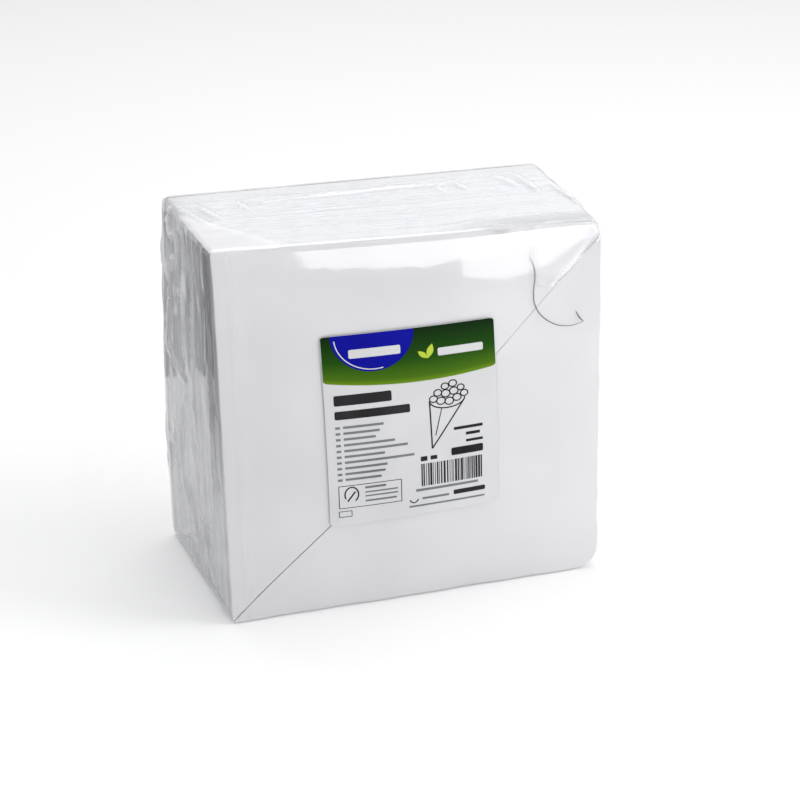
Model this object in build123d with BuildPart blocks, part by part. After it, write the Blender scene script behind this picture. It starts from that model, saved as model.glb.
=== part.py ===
"""A shrink-wrapped pack of flat paper cones, standing on one narrow side.

Each flat cone is a square sheet folded on its diagonal: a right triangle with two
equal legs, one glued and one open as the mouth. Two stacks of them lie side by side
and make a square block. One clear film is shrunk round the block and carries a paper
label. Millimetres. The origin is at the middle of the footprint, +Z is up, and the
label faces -Y.
"""

import math
import os
from functools import cache

from build123d import *

# Flat cones
leg = 190.0            # the two equal sides of a flat cone
stack_depth = 96.2     # thickness of a stack along its legs
fold_bulge = 9.0       # how much the folds and seams thicken it towards the middle
paper = 0.15           # one ply of a cone that is modelled by itself
ply_gap = 0.15         # air between its two plies
fold_width = 0.6       # how far the folded edge reaches in
seam_width = 12.0      # glued lap along the closed leg
mouth_depth = 38.0     # how far in from the open leg the plies stand apart
mouth_cut = 1.0        # how far the space between them is cut past that leg
cone_clearance = 0.3   # between an outer cone and its stack
stack_gap = 1.4        # open line between the two stacks, along the diagonal
gap_drop = 7.0         # how far below the top right corner that line ends

# Edges of the cones, seen as bundles that lie back by different amounts
bundles = 12
bundle_swing = 1.1     # the most that a bundle lies back
bundle_beat = 2.4      # radians from one bundle to the next, for an uneven rhythm

# Film
film = 0.3             # wall
film_clearance = 0.4   # between the film and the paper
rim_bevel = 0.8        # round the front and back faces
least_radius = 0.3     # of any corner of the outline
corner_radius = {"bottom_left": 3.0, "bottom_right": 13.0, "top_right": 6.0, "top_left": 2.5}

# The wrapped square has slid a little. Each corner is off a true square by (across, up).
front_slide = {
    "bottom_left": (3.5, 0.0),
    "bottom_right": (3.3, 0.0),
    "top_right": (-2.2, -1.5),
    "top_left": (-0.8, 4.0),
}
back_slide = {
    "bottom_left": (-3.8, 0.0),
    "bottom_right": (3.3, 0.0),
    "top_right": (1.8, -5.5),
    "top_left": (-1.8, -2.0),
}

# Folds of the film: (share along the wall, depth y, turn in degrees, length, width).
# The walls are followed clockwise as seen from the front, and a fold with no turn lies
# along its wall.
fold_slope = 50.0      # degrees from upright of a fold's two flanks
fold_crest = 0.8       # how much of its full ridge a fold keeps
fold_sink = 0.8        # how deep a fold's foot is sunk into the wall
left_folds = (
    (0.94, 42.0, -20.0, 24.0, 2.6),
    (0.90, 34.0, 6.0, 34.0, 3.7),
    (0.92, 24.0, 22.0, 28.0, 3.1),
    (0.93, 12.0, 38.0, 24.0, 2.6),
    (0.78, 38.0, -12.0, 26.0, 2.9),
    (0.77, 28.0, 9.0, 30.0, 3.3),
    (0.58, 22.0, 74.0, 34.0, 3.7),
    (0.49, 12.0, -27.0, 28.0, 3.1),
    (0.21, 11.0, 46.0, 32.0, 3.5),
    (0.11, 13.0, -62.0, 30.0, 3.3),
    (0.11, -25.0, 55.0, 36.0, 4.0),
    (0.14, -36.0, 22.0, 34.0, 3.7),
)
top_folds = (
    (0.05, 8.0, -78.0, 38.0, 4.2),
    (0.09, 15.0, -77.0, 30.0, 3.3),
    (0.18, 19.0, -70.0, 22.0, 2.4),
    (0.68, 18.0, -77.0, 20.0, 2.2),
    (0.74, 22.0, -77.0, 24.0, 2.6),
    (0.81, 22.0, -75.0, 28.0, 3.1),
    (0.87, 22.0, -74.0, 28.0, 3.1),
    (0.91, 17.0, -83.0, 40.0, 4.4),
    (0.47, 24.0, 2.0, 108.0, 1.8),
    (0.37, 3.0, 3.0, 42.0, 1.8),
    (0.75, -40.0, -4.0, 84.0, 6.0),
)
right_folds = (
    (0.07, 30.0, 20.0, 24.0, 2.6),
    (0.09, 16.0, -8.0, 30.0, 3.3),
    (0.08, 0.0, -25.0, 24.0, 2.6),
    (0.85, 28.0, -24.0, 34.0, 3.7),
    (0.87, 10.0, 12.0, 30.0, 3.3),
)

wall_folds = (
    ("bottom_left", "top_left", left_folds),
    ("top_left", "top_right", top_folds),
    ("top_right", "bottom_right", right_folds),
)

# Curved crease on the front: its line as (across, up), the way it widens and its rise
crease_line = (
    (56.1, 176.0),
    (59.2, 169.0),
    (57.7, 156.0),
    (61.5, 146.3),
    (72.0, 139.2),
    (85.3, 139.3),
)
crease_side = (1.5, 0.8)
crease_height = 0.7

# Label on the front
label_width = 82.5
label_height = 101.0
label_radius = 2.0
label_across = -4.8    # middle of the label from the middle of the pack
label_up = 100.2
label_turn = 1.0       # degrees, leaning with the pack
label_thickness = 0.2
adhesive = 0.05        # between the label and the film

# Worked out from the sizes above
wrap = film + film_clearance
cone_thickness = 2 * paper + ply_gap
half = leg / 2 + wrap
half_depth = stack_depth / 2 + wrap
middle = leg / 2
reach = half_depth + fold_bulge + 3.0
bulge_reach = half + 9.0
bulge_stations = 7
rim_slope = 0.8        # how squarely a face looks forward or back to count as the front or back
corner_names = ("bottom_left", "bottom_right", "top_right", "top_left")
square = {
    "bottom_left": (-half, 0.0),
    "bottom_right": (half, 0.0),
    "top_right": (half, leg),
    "top_left": (-half, leg),
}
gap_foot = Vector(square["bottom_left"][0] + front_slide["bottom_left"][0], 0, 0)
gap_head = Vector(half, 0, leg - gap_drop)
gap_plane = Plane(origin=gap_foot, x_dir=gap_head - gap_foot, z_dir=(gap_head - gap_foot).cross(Vector(0, 1, 0)))


def slid_corner(name, slide, y):
    """A corner of the wrapped square after it has slid, at the depth y."""
    (x, z), (across, up) = square[name], slide[name]
    return Vector(x + across, y, z + up)


def wall_plane(first, second):
    """The plane that lies closest to the wall between two corners, facing out."""
    front_first, front_second = (slid_corner(name, front_slide, -half_depth) for name in (first, second))
    back_first, back_second = (slid_corner(name, back_slide, half_depth) for name in (first, second))
    centre = (front_first + front_second + back_first + back_second) / 4
    along = front_second - front_first + back_second - back_first
    depth = back_first - front_first + back_second - front_second
    return Plane(origin=centre, x_dir=along, z_dir=depth.cross(along))


def corner(name, y):
    """Where the two walls beside a corner meet at the depth y, as (x, z)."""
    i = corner_names.index(name)
    rows = []
    for pair in ((corner_names[i - 1], name), (name, corner_names[(i + 1) % 4])):
        plane = wall_plane(*pair)
        facing = plane.z_dir
        rows.append((facing.X, facing.Z, facing.dot(plane.origin) - facing.Y * y))
    (a, b, p), (c, d, q) = rows
    return (p * d - b * q) / (a * d - b * c), (a * q - p * c) / (a * d - b * c)


def inset_corners(y, bottom, right, top, left):
    """The four corners at the depth y, with each side drawn in by its own amount."""
    insets = (bottom, right, top, left)
    corners = [Vector(*corner(name, y)) for name in corner_names]
    points = []
    for i, here in enumerate(corners):
        before = (here - corners[i - 1]).normalized()
        after = (corners[(i + 1) % 4] - here).normalized()
        turn = before.cross(after).Z
        point = here + after * (insets[i - 1] / turn) - before * (insets[i] / turn)
        points.append((point.X, point.Y))
    return points


def outline(y, bottom, right, top, left):
    """The edges of the pack's outline at the depth y, drawn in, its corners rounded."""
    points = inset_corners(y, bottom, right, top, left)
    radii = [max(corner_radius[name] - max(right, left), least_radius) for name in corner_names]
    with BuildLine() as line:
        FilletPolyline(*points, radius=radii, close=True)
    return line.edges()


@cache
def face_form(inset):
    """The pillowed front and back, drawn in by inset, well past all four sides.

    Each profile is a parabola, whose middle lies half as far out as its control point.
    """
    edge = half_depth - inset
    low, high = middle - bulge_reach, middle + bulge_reach
    with BuildPart() as form:
        for i in range(bulge_stations):
            x = (2 * i / (bulge_stations - 1) - 1) * (bulge_reach - 1)
            swell = fold_bulge * (1 - (x / bulge_reach) ** 2)
            with BuildSketch(Plane.YZ.offset(x)):
                with BuildLine():
                    front = Bezier((-edge, low), (-edge - 2 * swell, middle), (-edge, high))
                    back = Bezier((edge, low), (edge + 2 * swell, middle), (edge, high))
                    Line(front @ 0, back @ 0)
                    Line(front @ 1, back @ 1)
                make_face()
        loft(ruled=True)
    return form.part


def pack_form(inset):
    """The whole pack as one solid, drawn in by inset, with rounded corners and bevelled rims."""
    with BuildPart() as form:
        with Locations((0, 0, middle)):
            Box(3 * half, 2 * reach, 3 * half)
        for first, second in zip(corner_names, corner_names[1:] + corner_names[:1]):
            split(bisect_by=wall_plane(first, second).offset(-inset), keep=Keep.BOTTOM)
        for name in corner_names:
            x, z = corner(name, 0)
            upright = form.edges().sort_by_distance(Vector(x, 0, z))[0]
            fillet(upright, radius=max(corner_radius[name] - inset, least_radius))
        add(face_form(inset), mode=Mode.INTERSECT)
        pillow, sides = form.faces().group_by(lambda face: abs(face.normal_at().Y) > rim_slope)[::-1]
        rims = [edge for edge in pillow.edges() if edge in sides.edges()]
        chamfer(rims, length=rim_bevel - inset)
    return form.part


def fold_plane(first, second, share, y, turn):
    """A plane on the wall between two corners, facing out, turned from the wall's own line."""
    (x0, z0), (x1, z1) = corner(first, y), corner(second, y)
    wall = wall_plane(first, second)
    here = Vector(x0 + share * (x1 - x0), y, z0 + share * (z1 - z0))
    return Plane(origin=here, x_dir=Vector(x1 - x0, 0, z1 - z0), z_dir=wall.z_dir).rotated((0, 0, turn))


def fold(plane, length, width):
    """A raised fold: a long lozenge that rises to a ridge, its foot sunk in the wall."""
    tips = ((-length / 2, 0), (0, -width / 2), (length / 2, 0), (0, width / 2))
    with BuildPart() as ridge:
        with BuildSketch(plane):
            with BuildLine():
                Polyline(*tips, close=True)
            make_face()
        extrude(amount=-fold_sink)
        with BuildSketch(plane):
            with BuildLine():
                Polyline(*tips, close=True)
            make_face()
        extrude(amount=fold_crest * width / 2 / math.tan(math.radians(fold_slope)), taper=fold_slope)
    return ridge.part


def crease():
    """The curved crease on the front: a sliver between two splines with shared ends."""
    near = [Vector(*point) for point in crease_line]
    far = [near[0]] + [point + Vector(*crease_side) for point in near[1:-1]] + [near[-1]]
    with BuildPart() as ridge:
        with BuildSketch(Plane.XZ.offset(reach)):
            with BuildLine():
                Spline(*near)
                Spline(*far)
            make_face()
        extrude(amount=-reach)
        add(face_form(-crease_height), mode=Mode.INTERSECT)
    return ridge.part


def part_at_gap(upper, draw_in=0.0):
    """Keeps one side of the open line between the stacks, in the part being built."""
    side = 1 if upper else -1
    edge = gap_plane.offset(side * (stack_gap / 2 + draw_in))
    split(bisect_by=edge, keep=Keep.TOP if upper else Keep.BOTTOM)


def outer_cone(upper, front):
    """The outermost flat cone of a stack: two plies with a fold, a lap and a mouth."""
    side = -1 if front else 1
    y, start, run = side * half_depth, side * reach, side * reach / 2
    shut = wrap + fold_width
    lap = wrap + seam_width
    open_leg = wrap - mouth_cut
    pressed = leg - mouth_depth
    sides = (pressed, shut, open_leg, lap) if upper else (open_leg, lap, pressed, shut)
    with BuildPart() as inside:
        with BuildSketch(Plane.XZ.offset(-start)):
            make_face(outline(y, *sides))
        extrude(amount=run)
        part_at_gap(upper, fold_width)
        add(face_form(wrap + paper), mode=Mode.INTERSECT)
        add(face_form(wrap + paper + ply_gap), mode=Mode.SUBTRACT)
    with BuildPart() as cone:
        with BuildSketch(Plane.XZ.offset(-start)):
            make_face(outline(y, wrap, wrap, wrap, wrap))
        extrude(amount=run)
        part_at_gap(upper)
        add(face_form(wrap), mode=Mode.INTERSECT)
        add(face_form(wrap + cone_thickness), mode=Mode.SUBTRACT)
        add(inside.part, mode=Mode.SUBTRACT)
    return cone.part


with BuildPart() as film_wrap:
    add(pack_form(0))
    for first, second, folds in wall_folds:
        for share, y, turn, length, width in folds:
            add(fold(fold_plane(first, second, share, y, turn), length, width))
    add(crease())
    add(pack_form(film), mode=Mode.SUBTRACT)
film_wrap.part.label = "film_wrap"

with BuildPart() as label:
    with BuildSketch(Plane.XZ.offset(reach)):
        with Locations((label_across, label_up)):
            RectangleRounded(label_width, label_height, label_radius, rotation=label_turn)
    extrude(amount=-reach)
    add(face_form(-adhesive - label_thickness), mode=Mode.INTERSECT)
    add(face_form(-adhesive), mode=Mode.SUBTRACT)
label.part.label = "label"

# Both stacks at once: one slab for each bundle, and the ends cut to the pillowed faces
with BuildPart() as block:
    pitch = 2 * reach / bundles
    for i in range(bundles):
        y = -reach + (i + 0.5) * pitch
        back_off = wrap + bundle_swing * (1 + math.sin(bundle_beat * i)) / 2
        with BuildSketch(Plane.XZ.offset(-y)):
            make_face(outline(y, wrap, back_off, back_off, back_off))
        extrude(amount=pitch / 2, both=True)
    add(face_form(wrap + cone_thickness + cone_clearance), mode=Mode.INTERSECT)

with BuildPart() as upper_stack:
    add(block.part)
    part_at_gap(upper=True)
upper_stack.part.label = "upper_stack"

with BuildPart() as lower_stack:
    add(block.part)
    part_at_gap(upper=False)
lower_stack.part.label = "lower_stack"

nodes = [film_wrap.part, label.part, upper_stack.part, lower_stack.part]
for side_name, front in (("front", True), ("back", False)):
    for stack_name, upper in (("upper", True), ("lower", False)):
        with BuildPart() as outer:
            add(outer_cone(upper, front))
        outer.part.label = f"{side_name}_{stack_name}_cone"
        nodes.append(outer.part)

os.makedirs("parts", exist_ok=True)
for node in nodes:
    export_step(node, f"parts/{node.label}.step")
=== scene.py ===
# %% [markdown]
# # A shrink-wrapped pack of flat paper cones
# The pack is a square block of flat paper cones in a tight, clear film, with a paper
# label on its front. It stands on one narrow side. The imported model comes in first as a
# fixed frame: it gives the place and the size of every piece made here.

# %% Load the frame
import math

import bpy
import numpy as np
from mathutils import Matrix, Vector


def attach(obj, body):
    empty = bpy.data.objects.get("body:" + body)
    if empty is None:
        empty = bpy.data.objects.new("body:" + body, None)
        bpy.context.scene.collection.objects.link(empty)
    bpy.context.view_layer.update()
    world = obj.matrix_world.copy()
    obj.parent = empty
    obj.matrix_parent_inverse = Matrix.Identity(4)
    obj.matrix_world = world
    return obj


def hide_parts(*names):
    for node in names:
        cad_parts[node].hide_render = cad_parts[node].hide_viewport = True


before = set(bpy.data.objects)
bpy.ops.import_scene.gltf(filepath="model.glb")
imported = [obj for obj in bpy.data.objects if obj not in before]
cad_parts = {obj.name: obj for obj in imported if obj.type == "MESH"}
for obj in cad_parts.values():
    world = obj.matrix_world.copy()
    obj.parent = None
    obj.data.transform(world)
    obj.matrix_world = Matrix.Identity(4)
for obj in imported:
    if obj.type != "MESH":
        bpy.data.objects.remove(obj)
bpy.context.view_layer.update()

mm = 0.001
print("the frame's nodes:", sorted(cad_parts))

# %% [markdown]
# ## The form of the pack
# Every piece follows one form: a square block whose eight corners have slid a little and
# whose front and back are pillowed, because the folds of the cones are springy. Above the
# gap between the stacks the front also rolls back towards the top edge. The form could be
# carved out of one mesh and shared, but a small function is surer: it takes points of a
# plain upright block and moves them to their real place, for film, paper and label.

# %% Measures of the form
half_width = 95.7 * mm
half_depth = 48.8 * mm
block_height = 190 * mm
pillow = 9 * mm
side_swell = 2.2 * mm
gap_drop = 7 * mm
gap_rise = (block_height - gap_drop) / (2 * half_width)
roll_left, roll_right = 24 * mm, 50 * mm
roll_slope = 0.10
roll_start = 2 * mm
block_corners = ((-1, 0), (1, 0), (1, 1), (-1, 1))
front_corners = np.array(((-92.1, 0), (99.0, 0), (93.3, 188.6), (-96.3, 194.3))) * mm
back_corners = np.array(((-99.4, 0), (99.0, 0), (97.9, 184.3), (-97.2, 187.3))) * mm
print("the gap climbs", round(gap_rise, 3), "mm for each mm across")


# %% The form as a function
def smooth_step(value, low, high):
    """0 below low, 1 above high, and a soft change between them."""
    share = np.clip((value - low) / (high - low), 0, 1)
    return share * share * (3 - 2 * share)


def front_roll(points, across):
    """How far the front rolls back under its top edge: a parabola, taller at the right."""
    above_gap = np.clip((points[:, 2] - gap_rise * (points[:, 0] + half_width)) / roll_start, 0, 1)
    right = smooth_step(across, 0.2, 0.65) * (1 - 0.6 * smooth_step(across, 0.7, 1))
    height = roll_left + (roll_right - roll_left) * right
    climb = np.clip(1 - (block_height - points[:, 2]) / height, 0, 1) ** 2
    slope = roll_slope + np.where(across < 0, 0.15, 0.04) * across**2
    return 0.5 * slope * height * climb * above_gap


def to_pack(points):
    """Moves points of the plain block, an array of (x, y, z), to their place on the pack."""
    across = points[:, 0] / half_width
    depth = np.clip(points[:, 1] / half_depth, -1, 1)
    up = 2 * points[:, 2] / block_height - 1
    moved = points.copy()
    for (side, top), front, back in zip(block_corners, front_corners, back_corners):
        plain = np.array((side * half_width, top * block_height))
        share = (1 + side * across) / 2 * (1 + (2 * top - 1) * up) / 2
        slid = np.outer((1 - depth) / 2, front - plain) + np.outer((1 + depth) / 2, back - plain)
        moved[:, 0] += share * slid[:, 0]
        moved[:, 2] += share * slid[:, 1]
    crown = np.clip(1 - across**2, 0, 1) * np.clip(1 - up**2, 0, 1)
    moved[:, 1] += pillow * crown * depth
    moved[:, 1] += front_roll(points, across) * np.clip(-depth, 0, 1)
    belly = np.clip(1 - up**2, 0, 1) * np.clip((depth + 0.6) / 1.6, 0, 1)
    moved[:, 0] += side_swell * belly * np.where(across < 0, -1, 0.4) * np.abs(across) ** 3
    return moved


middle_front = to_pack(np.array(((0, -half_depth, block_height / 2),)))[0]
print("the front stands", round(-middle_front[1] / mm, 1), "mm out at its middle")

# %% [markdown]
# ## Helpers
# An operator acts on all that is selected, so each new piece starts from nothing
# selected. A finished piece rides on the one body of the pack, stands for its solid and
# takes its material. Points that a formula gives are read and written as one array,
# which is far quicker than going through a mesh point by point.

# %% Selection helpers
rng = np.random.default_rng(7)


def deselect():
    if bpy.context.mode != "OBJECT":
        bpy.ops.object.mode_set(mode="OBJECT")
    bpy.ops.object.select_all(action="DESELECT")


def choose(piece):
    """Makes a piece the only one that an operator acts on."""
    deselect()
    bpy.context.view_layer.objects.active = piece
    piece.select_set(True)


def named(name):
    """Names the piece that was just added, and its mesh."""
    piece = bpy.context.active_object
    piece.name = name
    piece.data.name = name
    return piece


def smooth(piece, degrees=40):
    choose(piece)
    bpy.ops.object.shade_smooth_by_angle(angle=math.radians(degrees))


def outward(piece):
    """Turns every face of a closed piece outwards."""
    choose(piece)
    bpy.ops.object.mode_set(mode="EDIT")
    bpy.ops.mesh.select_all(action="SELECT")
    bpy.ops.mesh.normals_make_consistent(inside=False)
    bpy.ops.object.mode_set(mode="OBJECT")


def finish_piece(piece, slot, material, *nodes):
    piece.data.materials.clear()
    piece.data.materials.append(material)
    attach(piece, "root")
    if nodes:
        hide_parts(*nodes)
    print(piece.name, "has", sum(len(f.vertices) - 2 for f in piece.data.polygons), "triangles")


# %% Mesh helpers
def read_points(piece, kind="co"):
    """The place (or with kind normal, the normal) of each vertex of a piece, as an array."""
    flat = np.empty(len(piece.data.vertices) * 3)
    piece.data.vertices.foreach_get(kind, flat)
    return flat.reshape(-1, 3)


def write_points(piece, points):
    piece.data.vertices.foreach_set("co", points.ravel())
    piece.data.update()


def write_attribute(piece, name, values):
    """Keeps one value for each vertex, for a material to read."""
    layer = piece.data.attributes.new(name, "FLOAT", "POINT")
    layer.data.foreach_set("value", values.astype(np.float32))


def new_mesh(name, points, faces):
    """A piece from points and faces that a formula gives."""
    data = bpy.data.meshes.new(name)
    data.from_pydata([tuple(p) for p in points], [], faces)
    data.validate()
    piece = bpy.data.objects.new(name, data)
    bpy.context.scene.collection.objects.link(piece)
    return piece


def grid_faces(rows, size, closed=False):
    """Faces between rows of points that follow each other, size points to a row."""
    faces = []
    for row in range(rows - 1):
        near, far = row * size, (row + 1) * size
        for i in range(size if closed else size - 1):
            after = (i + 1) % size
            faces.append((near + i, near + after, far + after, far + i))
    return faces


def join_patches(patches):
    """Points and faces of several patches, as one set."""
    points, faces, base = [], [], 0
    for grid, cells in patches:
        points.append(grid)
        faces += [tuple(base + i for i in cell) for cell in cells]
        base += len(grid)
    return np.concatenate(points), faces


# %% [markdown]
# ## A node group for unevenness
# Paper and print are never one flat tone. This group gives a soft cloudy mask and a fine
# one, so that each material can use them at its own strength. It holds no shader, only
# values, and it is built once and placed in each material with its own sizes.

# %% Unevenness group
def build_unevenness():
    group = bpy.data.node_groups.new("unevenness", "ShaderNodeTree")
    face = group.interface
    face.new_socket(name="Cloud size", in_out="INPUT", socket_type="NodeSocketFloat")
    face.new_socket(name="Grain size", in_out="INPUT", socket_type="NodeSocketFloat")
    face.new_socket(name="Cloud", in_out="OUTPUT", socket_type="NodeSocketFloat")
    face.new_socket(name="Grain", in_out="OUTPUT", socket_type="NodeSocketFloat")
    nodes, links = group.nodes, group.links
    inputs = nodes.new("NodeGroupInput")
    outputs = nodes.new("NodeGroupOutput")
    place = nodes.new("ShaderNodeTexCoord")
    for socket, detail in (("Cloud", 2.0), ("Grain", 4.0)):
        noise = nodes.new("ShaderNodeTexNoise")
        noise.inputs["Detail"].default_value = detail
        links.new(place.outputs["Object"], noise.inputs["Vector"])
        links.new(inputs.outputs[socket + " size"], noise.inputs["Scale"])
        links.new(noise.outputs["Fac"], outputs.inputs[socket])
    return group


unevenness = build_unevenness()
print("the unevenness group has", len(unevenness.nodes), "nodes")


# %% Material helpers
def new_material(name):
    """A material with its shader, and its nodes and links at hand."""
    material = bpy.data.materials.new(name)
    material.use_nodes = True
    tree = material.node_tree
    return material, tree.nodes, tree.links, tree.nodes["Principled BSDF"]


def add_unevenness(nodes, cloud, grain):
    node = nodes.new("ShaderNodeGroup")
    node.node_tree = unevenness
    node.inputs["Cloud size"].default_value = cloud
    node.inputs["Grain size"].default_value = grain
    return node


def add_ramp(nodes, links, value, *stops):
    """A colour ramp with a stop for each (place, colour)."""
    ramp = nodes.new("ShaderNodeValToRGB")
    links.new(value, ramp.inputs["Fac"])
    elements = ramp.color_ramp.elements
    while len(elements) < len(stops):
        elements.new(0.5)
    for element, (place, colour) in zip(elements, stops):
        element.position = place
        element.color = (*colour, 1)
    return ramp.outputs["Color"]


def add_bump(nodes, links, height, strength, distance, *shaders):
    """One bump for the normals of one or more shaders."""
    bump = nodes.new("ShaderNodeBump")
    bump.inputs["Strength"].default_value = strength
    bump.inputs["Distance"].default_value = distance
    links.new(height, bump.inputs["Height"])
    for shader in shaders:
        links.new(bump.outputs["Normal"], shader.inputs["Normal"])


def read_attribute(nodes, name):
    """The value that a mesh carries under a name."""
    node = nodes.new("ShaderNodeAttribute")
    node.attribute_name = name
    return node.outputs["Fac"]


def add_math(nodes, links, operation, *values):
    """A math node whose values are plain numbers or other nodes' outputs."""
    node = nodes.new("ShaderNodeMath")
    node.operation = operation
    for socket, value in zip(node.inputs, values):
        if isinstance(value, float):
            socket.default_value = value
        else:
            links.new(value, socket)
    return node.outputs["Value"]


def add_mix(nodes, links, share, first, second):
    """A mix of two shaders: all of the first at a share of 0, all of the second at 1."""
    node = nodes.new("ShaderNodeMixShader")
    for socket, value in zip(node.inputs, (share, first, second)):
        links.new(value, socket)
    return node.outputs["Shader"]


# %% [markdown]
# ## Paper
# The cones are thin, smooth, cool white paper. A broad cloud makes the tone of the front
# vary as on the real pack, and a fine grain gives the fibres through a weak bump. The
# edges of the stacks use the same paper, with a tone from an attribute that the stack's
# mesh carries: it varies at random from bundle to bundle, and a painted shade makes the
# left wall darker, darkest in a band that runs up it near the front.

# %% Paper material
paper_light = (0.725, 0.715, 0.728)
paper_dim = (0.675, 0.665, 0.68)
# Stack edges: their white, and a dark end for the painted shade of the left wall
edge_light = (0.90, 0.90, 0.915)
edge_dark = (0.20, 0.205, 0.22)


def make_paper(name, from_edges):
    material, nodes, links, shader = new_material(name)
    uneven = add_unevenness(nodes, 16, 900)
    # The stack edges take a random tone and a painted shade from the mesh
    if from_edges:
        shade = read_attribute(nodes, "shade")
        colour = add_ramp(nodes, links, shade, (0.0, edge_light), (1.0, edge_dark))
    else:
        cloud = uneven.outputs["Cloud"]
        colour = add_ramp(nodes, links, cloud, (0.35, paper_dim), (0.65, paper_light))
    links.new(colour, shader.inputs["Base Color"])
    shader.inputs["Roughness"].default_value = 0.6
    shader.inputs["Specular IOR Level"].default_value = 0.3
    add_bump(nodes, links, uneven.outputs["Grain"], 0.05, 0.1 * mm, shader)
    return material


paper_face = make_paper("paper_face", from_edges=False)
paper_edges = make_paper("paper_edges", from_edges=True)

# %% [markdown]
# ## The two stacks
# Each stack holds hundreds of flat cones face to face. It could be one block with lines
# bumped on, but its edges show through the film at the sides and on top, so each bundle
# is a step of its own: a ring of points round the triangle, drawn in by its own amount.
# Each bundle also keeps a tone of its own, and a painted shade makes the left wall darker,
# darkest in a band that runs up it near the front.

# %% Stack outlines
gap_at_foot, gap_at_head = 0.5 * mm, 0.12 * mm
film_gap = 0.8 * mm
foot_step = 0.3 * mm


def triangle(upper):
    """The corners of a flat cone on the plain block, and the radius of each."""
    slant = math.hypot(1, gap_rise)
    foot_off, head_off = gap_at_foot / 2 * slant, gap_at_head / 2 * slant
    left, right, top = -half_width + film_gap, half_width - film_gap, block_height - film_gap
    low = film_gap
    if upper:
        foot = (left, low + foot_off + foot_step)
        head = (right, gap_rise * (right + half_width) + head_off)
        return (foot, head, (right, top), (left, top)), (0.6 * mm, 0.8 * mm, 4 * mm, 2.2 * mm)
    foot = (left + foot_step, low)
    head = (right, gap_rise * (right + half_width) - head_off)
    return (foot, (right, low), head), (0.6 * mm, 12 * mm, 0.8 * mm)


def ring(corners, radii, pull):
    """Points round a polygon with rounded corners, drawn in towards its middle by pull."""
    centre = np.mean(corners, axis=0)
    points = []
    count = len(corners)
    for i, radius in enumerate(radii):
        here, before, after = (np.array(corners[j % count]) for j in (i, i - 1, i + 1))
        back = (before - here) / np.linalg.norm(before - here)
        ahead = (after - here) / np.linalg.norm(after - here)
        opening = math.acos(np.clip(back @ ahead, -1, 1))
        reach = radius / math.tan(opening / 2)
        start, end = here + back * reach, here + ahead * reach
        for share in np.linspace(0, 1, 7):
            points.append((1 - share) ** 2 * start + 2 * share * (1 - share) * here + share**2 * end)
        far = np.array(corners[(i + 1) % count])
        next_radius = radii[(i + 1) % count]
        for share in np.linspace(0, 1, 14)[1:-1]:
            points.append(end + share * (far - ahead * next_radius - end))
    points = np.array(points)
    spans = centre - points
    return points + spans / np.linalg.norm(spans, axis=1)[:, None] * np.reshape(pull, (-1, 1))


# %% Stack meshes
bundle_count = 130
bundle_pull = 0.9 * mm
slow_pull = 0.7 * mm
stack_inset = 1.6 * mm
# The painted shade band on the left wall: its middle in depth and its width
painted_band_middle, painted_band_width = -34 * mm, 9 * mm


def edge_shade(flat, y, tone):
    """How dark the sheet edges are round one ring: a random tone, and a painted shade that is darker on the
    left wall and darkest in a band near its front.
    """
    side = np.clip(1 - (flat[:, 0] + half_width) / (6 * mm), 0, 1)
    high = np.clip((flat[:, 1] - 40 * mm) / (90 * mm), 0, 1)
    painted_band = math.exp(-((y - painted_band_middle) / painted_band_width) ** 2) * high
    return 0.03 + 0.06 * tone + side * (0.04 + 0.26 * tone + 0.7 * painted_band * (0.7 + 0.5 * tone))


def stack(name, upper):
    corners, radii = triangle(upper)
    depth = half_depth - stack_inset
    edges = np.linspace(-depth, depth, bundle_count + 1)
    sway = np.sin(np.linspace(0, 9, bundle_count) + (0 if upper else 2))
    pull = bundle_pull * rng.random(bundle_count) ** 2 + slow_pull * (1 + sway) / 2
    tones = rng.random(bundle_count) ** 1.5
    plain = ring(corners, radii, 0)
    on_side = np.clip(1 - (plain[:, 0] + half_width) / (8 * mm), 0, 1)
    points, shades = [], []
    for i in range(bundle_count):
        flat = ring(corners, radii, pull[i] * (0.3 + 1.1 * on_side))
        for y in (edges[i], edges[i + 1]):
            points.append(np.column_stack((flat[:, 0], np.full(len(flat), y), flat[:, 1])))
            shades.append(edge_shade(flat, y, tones[i]))
    rows, size = len(points), len(plain)
    first, last = tuple(range(size))[::-1], tuple(range((rows - 1) * size, rows * size))
    faces = grid_faces(rows, size, closed=True) + [first, last]
    piece = new_mesh(name, to_pack(np.concatenate(points)), faces)
    write_attribute(piece, "shade", np.concatenate(shades))
    outward(piece)
    return piece


for name, upper in (("upper", True), ("lower", False)):
    finish_piece(stack(f"{name}_cones", upper), "cone_paper", paper_edges, f"{name}_stack")

# %% [markdown]
# ## The outermost cones
# The outermost cone of each stack shows whole through the film. It is a sheet folded on
# its diagonal, with one leg glued under a narrow lap and the other open. A grid is cut
# to the triangle, takes the pillowed form, and gets its thickness from Solidify: two
# plies and the air between them. The open leg stands off a little in waves, as the mouth
# of a flat cone does.

# %% Outer cones
sheet_cells = 72
ply = 0.16 * mm
lap_width, lap_softness = 12 * mm, 0.35 * mm
most_lift = 0.3 * mm


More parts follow.
